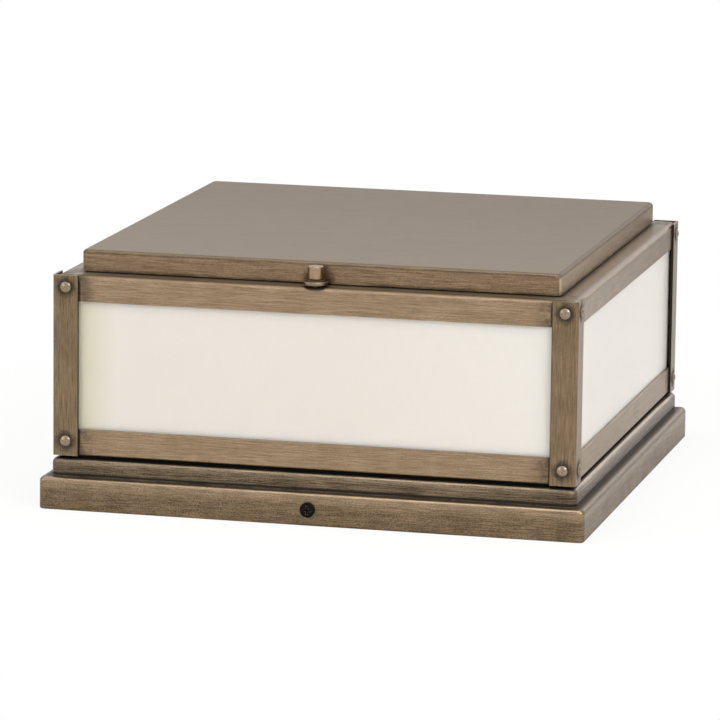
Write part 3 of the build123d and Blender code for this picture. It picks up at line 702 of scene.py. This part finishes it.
paneLook = {
    "pieces": ["glass_front", "glass_right", "glass_rear", "glass_left"],
    "body": srgb(233, 224, 214),
    "greenEdge": srgb(214, 208, 182),  # where light leaves through the cut edge
    "greenReach": 0.022,
    "greenShare": 0.85,
    "warmEdge": srgb(241, 231, 220),
    "warmReach": 0.132,
    "warmShare": 0.9,
    "cloudScale": 6.0,
    "cloudSpan": (0.3, 0.7),
    "cloudShare": 0.06,
    "roughness": 0.28,
    "satinScale": 3500.0,
    "satinSpan": (0.2, 0.8),
    "satinRoughness": 0.01,
    "satinDepth": 0.0000005,
    "detail": 1.0,  # of both noises
    "constants": {
        "IOR": 1.5,
        "Specular IOR Level": 0.5,
        "Subsurface Weight": 1.0,  # share of the light that spreads through the milk
        "Subsurface Scale": 0.007,
        "Subsurface Radius": (1.0, 0.95, 0.85),
    },
}


# Place along a pane, from left to right seen from outside: X in front, Y at the right, -X behind and -Y at
# the left
def alongPane(tree, place):
    parts = split(tree, place)
    sides = useGroup(tree, planPlace, vector=place)["Sides"]
    sidePlace = times(tree, calc(tree, "SIGN", parts["X"]), parts["Y"], sides)
    frontPlace = times(tree, calc(tree, "SIGN", parts["Y"]), parts["X"], -1.0, byFace(tree, sides, 1.0, 0.0))
    return calc(tree, "ADD", sidePlace, frontPlace)


def opalPane():  # opal sheet glass: milky body, tinted towards its cut edges, satin face
    look = paneLook
    material, tree, shader, place = newMaterial("opalPane", look["constants"])
    along = alongPane(tree, place)
    cloud = noise(tree, place, look["cloudScale"], look["detail"])
    cloud = ramp(tree, cloud, *look["cloudSpan"], 0.0, look["cloudShare"])
    colour = blendColours(tree, cloud, look["body"], look["greenEdge"])
    right = rampFrom(tree, along, postEdge, (-look["warmReach"], 0.0), 0.0, look["warmShare"])
    colour = blendColours(tree, right, colour, look["warmEdge"])
    left = rampFrom(tree, along, -postEdge, (0.0, look["greenReach"]), look["greenShare"], 0.0)
    colour = blendColours(tree, left, colour, look["greenEdge"])
    tree.links.new(colour, shader.inputs["Base Color"])
    satin = noise(tree, place, look["satinScale"], look["detail"])
    least = look["roughness"] - look["satinRoughness"]
    most = look["roughness"] + look["satinRoughness"]
    tree.links.new(ramp(tree, satin, *look["satinSpan"], least, most), shader.inputs["Roughness"])
    setBump(tree, shader, satin, look["satinDepth"])
    return material


paint(opalPane(), *paneLook["pieces"])
print("panes finished")


steelLook = {
    "stretch": (40.0, 900.0, 900.0),  # noise cells a metre along and across the rolling marks
    "grainShare": 0.4,
    "spangleScale": 120.0,
    "spangleDetail": 2.0,
    "spangleShare": 0.6,
    "edge": srgb(225, 225, 222),
    "edgeRadius": 0.0004,
    "edgeShare": 0.5,
    "scratchRoughness": 0.12,
    "depth": 0.00002,
}
steelLooks = {
    "zincSheet": {
        "pieces": ["mounting_plate", "glass_clips", "cage_screws", "cage_nuts", "bracket_screws",
                   "holder_screws", "nipple_nuts", "wire_nipple"],
        "body": srgb(150, 152, 152), "second": srgb(196, 197, 195), "roughness": 0.34,
    },
    "pinBrass": {
        "pieces": ["lamp_pins_left", "lamp_pins_right"],
        "body": srgb(176, 136, 66), "second": srgb(212, 174, 100), "roughness": 0.25,
    },
}


def platedMetal(name, ownLook):  # rolling marks along X, spangle, rubbed edges
    look = {**steelLook, **ownLook}
    material, tree, shader, place = newMaterial(name, {"Metallic": 1.0})
    strokes = useGroup(tree, brushing, vector=place, stretch=look["stretch"])
    spangle = noise(tree, place, look["spangleScale"], look["spangleDetail"])
    spangle = times(tree, spangle, look["spangleShare"])
    tone = calc(tree, "MULTIPLY_ADD", strokes["Grain"], look["grainShare"], spangle)
    colour = blendColours(tree, tone, look["body"], look["second"])
    worn = useGroup(tree, rubbedEdge, vector=place, radius=look["edgeRadius"])["Mask"]
    colour = blendColours(tree, times(tree, worn, look["edgeShare"]), colour, look["edge"])
    tree.links.new(colour, shader.inputs["Base Color"])
    roughest = look["roughness"] + look["scratchRoughness"]
    rough = ramp(tree, strokes["Scratch"], 0.0, 1.0, look["roughness"], roughest)
    tree.links.new(rough, shader.inputs["Roughness"])
    setBump(tree, shader, strokes["Scratch"], look["depth"])
    return material


plainLook = {
    "cloudDetail": 4.0,
    "cloudSpan": (0.35, 0.7),
    "grainSpan": (0.3, 0.7),
    "grainRoughness": (-0.05, 0.07),  # added to the roughness in hollows and on crests
    "edgeRadius": 0.0004,
    "edgeShare": 0.6,
    "dustColour": srgb(150, 142, 130),
    "dustRoughness": 0.3,
    # What a finish's own dictionary may set otherwise
    "depth": 0.00002,
    "edge": None,  # colour of rubbed edges
    "dust": 0.0,
    "constants": {},
}
plainLooks = {
    "blackScrew": {
        "pieces": ["set_screws"],
        "body": srgb(8, 8, 8), "second": srgb(14, 13, 12), "clouds": 300.0,
        "roughness": 0.36, "grain": 1500.0, "edge": srgb(136, 124, 108),
        "constants": {"Specular IOR Level": 0.06},
    },
    "groundGreen": {
        "pieces": ["ground_screw"],
        "body": srgb(34, 104, 58), "second": srgb(48, 128, 74), "clouds": 250.0,
        "roughness": 0.4, "grain": 1200.0, "edge": srgb(150, 170, 150),
    },
    "whiteEnamel": {
        "pieces": ["reflector_tray", "lamp_bracket"],
        "body": srgb(236, 235, 230), "second": srgb(228, 226, 219), "clouds": 30.0,
        "roughness": 0.3, "grain": 700.0, "depth": 0.00003, "dust": 0.25,
        "constants": {"Coat Weight": 0.3},
    },
    "porcelain": {
        "pieces": ["lampholder_left", "lampholder_right"],
        "body": srgb(238, 235, 226), "second": srgb(230, 225, 212), "clouds": 60.0,
        "roughness": 0.2, "grain": 500.0, "dust": 0.15,
        "constants": {"Coat Weight": 0.5},
    },
    "lampBody": {
        "pieces": ["lamp_base_left", "lamp_base_right"],
        "body": srgb(232, 232, 229), "second": srgb(224, 224, 221), "clouds": 50.0,
        "roughness": 0.45, "grain": 1600.0, "dust": 0.1,
    },
    "lampOpal": {
        "pieces": ["lamp_globe_left", "lamp_globe_right"],
        "body": srgb(244, 242, 236), "second": srgb(238, 234, 225), "clouds": 24.0,
        "roughness": 0.5, "grain": 1100.0, "depth": 0.00001, "dust": 0.1,
    },
    "terminalPlastic": {
        "pieces": ["terminal_block"],
        "body": srgb(226, 221, 204), "second": srgb(214, 207, 188), "clouds": 90.0,
        "roughness": 0.42, "grain": 1300.0, "dust": 0.15,
    },
    "blackLead": {
        "pieces": ["leads_black"],
        "body": srgb(26, 26, 27), "second": srgb(38, 38, 38), "clouds": 160.0,
        "roughness": 0.48, "grain": 1800.0, "dust": 0.1,
    },
    "whiteLead": {
        "pieces": ["leads_white"],
        "body": srgb(226, 226, 222), "second": srgb(212, 211, 205), "clouds": 160.0,
        "roughness": 0.48, "grain": 1800.0, "dust": 0.1,
    },
    "blackRubber": {
        "pieces": ["neck_gasket", "lid_gasket"],
        "body": srgb(5, 5, 5), "second": srgb(9, 9, 8), "clouds": 120.0,
        "roughness": 0.8, "grain": 1400.0, "depth": 0.00006,
        "constants": {"Specular IOR Level": 0.06},
    },
}


# Plain finishes: a body colour with clouds of a second colour, rubbed edges, dust, and a fine surface
def plainFinish(name, ownLook):
    look = {**plainLook, **ownLook}
    material, tree, shader, place = newMaterial(name, look["constants"])
    cloud = ramp(tree, noise(tree, place, look["clouds"], look["cloudDetail"]), *look["cloudSpan"])
    colour = blendColours(tree, cloud, look["body"], look["second"])
    if look["edge"]:
        worn = useGroup(tree, rubbedEdge, vector=place, radius=look["edgeRadius"])["Mask"]
        colour = blendColours(tree, times(tree, worn, look["edgeShare"]), colour, look["edge"])
    surface = noise(tree, place, look["grain"])
    smoothest, roughest = (look["roughness"] + change for change in look["grainRoughness"])
    rough = ramp(tree, surface, *look["grainSpan"], smoothest, roughest)
    if look["dust"]:
        specks = useGroup(tree, dust, vector=place, amount=look["dust"])["Mask"]
        colour = blendColours(tree, specks, colour, look["dustColour"])
        rough = calc(tree, "MULTIPLY_ADD", specks, look["dustRoughness"], rough)
    tree.links.new(colour, shader.inputs["Base Color"])
    tree.links.new(rough, shader.inputs["Roughness"])
    setBump(tree, shader, surface, look["depth"])
    return material


for name, look in steelLooks.items():
    paint(platedMetal(name, look), *look["pieces"])
for name, look in plainLooks.items():
    paint(plainFinish(name, look), *look["pieces"])
print("inner finishes laid")


turnedLook = {
    "columns": 96,  # points round a turn
    "rowsEachPitch": 10,
    "sharpAngle": 32,  # degrees between faces, past which an edge stays sharp
}


# Turned and threaded pieces: a profile of radius against height is carried round Z. On the rows of the
# thread, which follow the first row, the radius drops by depth times a triangle wave of height / pitch less
# the turn's share of a circle.
def turned(radius, height, threadCount, pitch, depth, centre):
    turn = np.linspace(0, 2 * np.pi, turnedLook["columns"], endpoint=False)[None, :]
    row = np.arange(len(radius))[:, None]
    threaded = (row >= 1) & (row <= threadCount)
    phase = (height[:, None] / pitch - turn / (2 * np.pi)) % 1.0
    reach = radius[:, None] - depth * threaded * np.abs(2 * phase - 1)
    level = np.broadcast_to(height[:, None], reach.shape)
    return np.stack([centre[0] + reach * np.cos(turn), centre[1] + reach * np.sin(turn), level], axis=-1)


# Quads between neighbouring rows and columns; the rows either close on a point at each end or wrap round
def meshFromGrid(name, grid, wrapRows, material):
    rows, columns = grid.shape[:2]
    index = np.arange(rows * columns).reshape(rows, columns)
    following = np.roll(index, -1, axis=1)
    above = np.roll(index, -1, axis=0)
    aboveFollowing = np.roll(following, -1, axis=0)
    last = rows if wrapRows else rows - 1
    faces = np.stack([index, following, aboveFollowing, above], axis=-1)[:last].reshape(-1, 4).tolist()
    points = grid.reshape(-1, 3)
    if not wrapRows:
        points = np.vstack([points, grid[[0, -1]].mean(axis=1)])
        bottom, top = rows * columns, rows * columns + 1
        faces += np.stack([following[0], index[0], np.full(columns, bottom)], axis=-1).tolist()
        faces += np.stack([index[-1], following[-1], np.full(columns, top)], axis=-1).tolist()
    mesh = bpy.data.meshes.new(name)
    mesh.from_pydata(points.tolist(), [], faces)
    mesh.shade_smooth()
    mesh.set_sharp_from_angle(angle=math.radians(turnedLook["sharpAngle"]))
    mesh.materials.append(material)
    piece = bpy.data.objects.new(name, mesh)
    scene.collection.objects.link(piece)
    return piece


def threadRows(low, high, pitch):  # heights that step through a thread
    return np.linspace(low, high, int((high - low) / pitch * turnedLook["rowsEachPitch"]) + 1)


knobLook = {
    "pitch": 0.0007,
    "threadDepth": 0.00028,
    "shank": 0.00195,
    "tip": 0.0008,  # the thread starts this far above the end
    "tipRadius": 0.0011,
    "runOut": 0.0012,  # and ends this far below the head
    "neck": 0.001,  # the neck starts here
    "neckStep": 0.0003,  # and is this much thinner than the shank
    "headHeight": 0.0072,
    "seatInset": (0.0006, 0.0002, 0.0),  # the eased lower edge of the head, in from its side
    "seatRise": (0.0, 0.0001, 0.0005),  # and up from its seat
    "edge": 0.0006,  # the rounded rim
    "rimGap": 0.0001,  # the side ends this far below the rim
    "easeRows": 7,
    "crown": 0.00025,
    "crownRows": 8,
    "crownEnd": 0.0003,  # radius inside which the crown closes on a point
}


# Thumb screw: a tapered tip, the threaded shank, a plain neck and the turned head. The head's rim is a
# quarter circle of radius edge, and its crown drops by crown times the square of the radius's share.
def thumbScrew():
    head = (knobHigh[0] - knobLow[0]) / 2
    seat = knobHigh[2] - knobLook["headHeight"]
    edge, crown, pitch, shank = (knobLook[name] for name in ("edge", "crown", "pitch", "shank"))
    thread = threadRows(knobLow[2] + knobLook["tip"], seat - knobLook["runOut"], pitch)
    ease = np.linspace(0, np.pi / 2, knobLook["easeRows"])
    rim = knobHigh[2] - crown - edge
    crownRows = np.linspace(head - edge, knobLook["crownEnd"], knobLook["crownRows"])[1:]
    radius = np.concatenate([
        [knobLook["tipRadius"]], np.full(thread.shape, shank), [shank - knobLook["neckStep"]] * 2,
        head - np.array(knobLook["seatInset"]), [head], head - edge + edge * np.cos(ease), crownRows])
    height = np.concatenate([
        [knobLow[2]], thread, [seat - knobLook["neck"], seat],
        seat + np.array(knobLook["seatRise"]), [rim - knobLook["rimGap"]], rim + edge * np.sin(ease),
        knobHigh[2] - crown * (crownRows / (head - edge)) ** 2])
    grid = turned(radius, height, len(thread), pitch, knobLook["threadDepth"], knobPlace)
    piece = meshFromGrid("thumbScrewTurned", grid, False, bpy.data.materials["knobBronze"])
    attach(piece, "latch_screw")
    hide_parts("thumb_screw")


nippleLook = {
    "pitch": 0.00141,
    "threadDepth": 0.0006,
    "bore": 0.0048,
    "lip": 0.0006,
}


# Wire nipple: a threaded tube, up the outside, over the lip, down the bore and under the foot, with both
# ends of both walls cut back by the lip at 45 degrees
def wireNipple():
    low, high = (np.array(end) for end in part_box("wire_nipple"))
    outside, bore, lip = (high[0] - low[0]) / 2, nippleLook["bore"], nippleLook["lip"]
    thread = threadRows(low[2] + lip, high[2] - lip, nippleLook["pitch"])
    radius = np.concatenate([
        [outside - lip], np.full(thread.shape, outside),
        [outside - lip, bore + lip, bore, bore, bore + lip]])
    height = np.concatenate([
        [low[2]], thread,
        [high[2], high[2], high[2] - lip, low[2] + lip, low[2]]])
    middle = (low + high) / 2
    grid = turned(radius, height, len(thread), nippleLook["pitch"], nippleLook["threadDepth"], middle)
    piece = meshFromGrid("wireNippleThreaded", grid, True, bpy.data.materials["zincSheet"])
    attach(piece, "base")
    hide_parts("wire_nipple")


thumbScrew()
wireNipple()
print("turned pieces made")


stageLook = {
    "white": (1.0, 1.0, 1.0, 1.0),
    "worldLight": 0.62,  # light that the surroundings throw on the lantern
    "floorSize": 12.0,
    "floorConstants": {
        "Base Color": srgb(243, 242, 240),
        "Roughness": 0.9,
        "Specular IOR Level": 0.0,
    },
    "shadowShare": 0.14,  # how much of the floor's own shading the camera sees beside the lantern
    "shadowReach": (0.24, 0.5),  # and the distances over which that fades to none
}


# 1 for what the camera sees itself or through glass, and also in a mirror where mirrored is true
def seenDirectly(tree, mirrored):
    rays = put(tree, "ShaderNodeLightPath").outputs
    seen = calc(tree, "MAXIMUM", rays["Is Camera Ray"], rays["Is Transmission Ray"])
    return calc(tree, "MAXIMUM", seen, rays["Is Glossy Ray"]) if mirrored else seen


def surroundings():  # seen as plain white, and dimmer as a light
    world = bpy.data.worlds.new("studioWhite")
    scene.world = world
    world.use_nodes = True
    tree = world.node_tree
    light = tree.nodes["Background"]
    light.inputs["Color"].default_value = stageLook["white"]
    light.inputs["Strength"].default_value = stageLook["worldLight"]
    white = put(tree, "ShaderNodeBackground", {"Color": stageLook["white"], "Strength": 1.0})
    ends = {0: seenDirectly(tree, True), 1: light.outputs[0], 2: white.outputs[0]}
    either = put(tree, "ShaderNodeMixShader", ends)
    tree.links.new(either.outputs[0], tree.nodes["World Output"].inputs["Surface"])


def paleFloor():  # a plane that keeps a soft shadow near the lantern and is white further off
    half = stageLook["floorSize"] / 2
    corners = [(-half, -half, 0), (half, -half, 0), (half, half, 0), (-half, half, 0)]
    mesh = bpy.data.meshes.new("floor")
    mesh.from_pydata(corners, [], [(0, 1, 2, 3)])
    floor = bpy.data.objects.new("floor", mesh)
    scene.collection.objects.link(floor)
    material, tree, shader, place = newMaterial("paleFloor", stageLook["floorConstants"])
    glow = put(tree, "ShaderNodeEmission", {"Color": stageLook["white"], "Strength": 1.0})
    away = calcVector(tree, "LENGTH", place)["Value"]
    white = ramp(tree, away, *stageLook["shadowReach"], 1.0 - stageLook["shadowShare"], 1.0)
    ends = {0: times(tree, seenDirectly(tree, False), white), 1: shader.outputs[0], 2: glow.outputs[0]}
    both = put(tree, "ShaderNodeMixShader", ends)
    tree.links.new(both.outputs[0], tree.nodes["Material Output"].inputs["Surface"])
    mesh.materials.append(material)


lampLook = {
    "key": {"place": (1.7, -1.5, 1.7), "size": 1.5, "watts": 26.0},
    "fill": {"place": (-1.8, -1.6, 1.0), "size": 1.4, "watts": 9.0},
    "overhead": {"place": (0.1, -0.55, 2.4), "size": 1.6, "watts": 22.0},
    "rim": {"place": (0.6, 2.9, 0.8), "size": 1.1, "watts": 5.0},
}


def softLamps():  # square area lamps that face the lantern's middle
    middle = Vector((0.0, 0.0, float(lidTop) / 2))
    for name, look in lampLook.items():
        data = bpy.data.lights.new(name, "AREA")
        data.shape = "SQUARE"
        data.size = look["size"]
        data.energy = look["watts"]
        lamp = bpy.data.objects.new(name, data)
        lamp.location = look["place"]
        lamp.rotation_euler = (middle - lamp.location).to_track_quat("-Z", "Y").to_euler()
        scene.collection.objects.link(lamp)


cameraLook = {
    "azimuth": 13.795,  # degrees round from the front, towards +X
    "elevation": 10.535,
    "roll": 0.687,
    "distance": 2.7917,
    "target": (-0.00878, 0.0, 0.06118),
    "lens": 256.5,
    "sensor": 36.0,
}


# The camera looks at its target from distance along back; roll turns right and up about that line
def photoCamera():
    azimuth, elevation, roll = (math.radians(cameraLook[name]) for name in ("azimuth", "elevation", "roll"))
    back = Vector((math.sin(azimuth) * math.cos(elevation), -math.cos(azimuth) * math.cos(elevation),
                   math.sin(elevation)))
    level = Vector((math.cos(azimuth), math.sin(azimuth), 0.0))
    upright = back.cross(level)
    right = level * math.cos(roll) + upright * math.sin(roll)
    up = upright * math.cos(roll) - level * math.sin(roll)
    data = bpy.data.cameras.new("photoCamera")
    data.lens = cameraLook["lens"]
    data.sensor_width = cameraLook["sensor"]
    camera = bpy.data.objects.new("photoCamera", data)
    turn = Matrix((right, up, back)).transposed().to_4x4()
    place = Vector(cameraLook["target"]) + back * cameraLook["distance"]
    camera.matrix_world = Matrix.Translation(place) @ turn
    scene.collection.objects.link(camera)
    scene.camera = camera


surroundings()
paleFloor()
softLamps()
photoCamera()
print("stage, lamps and camera set")
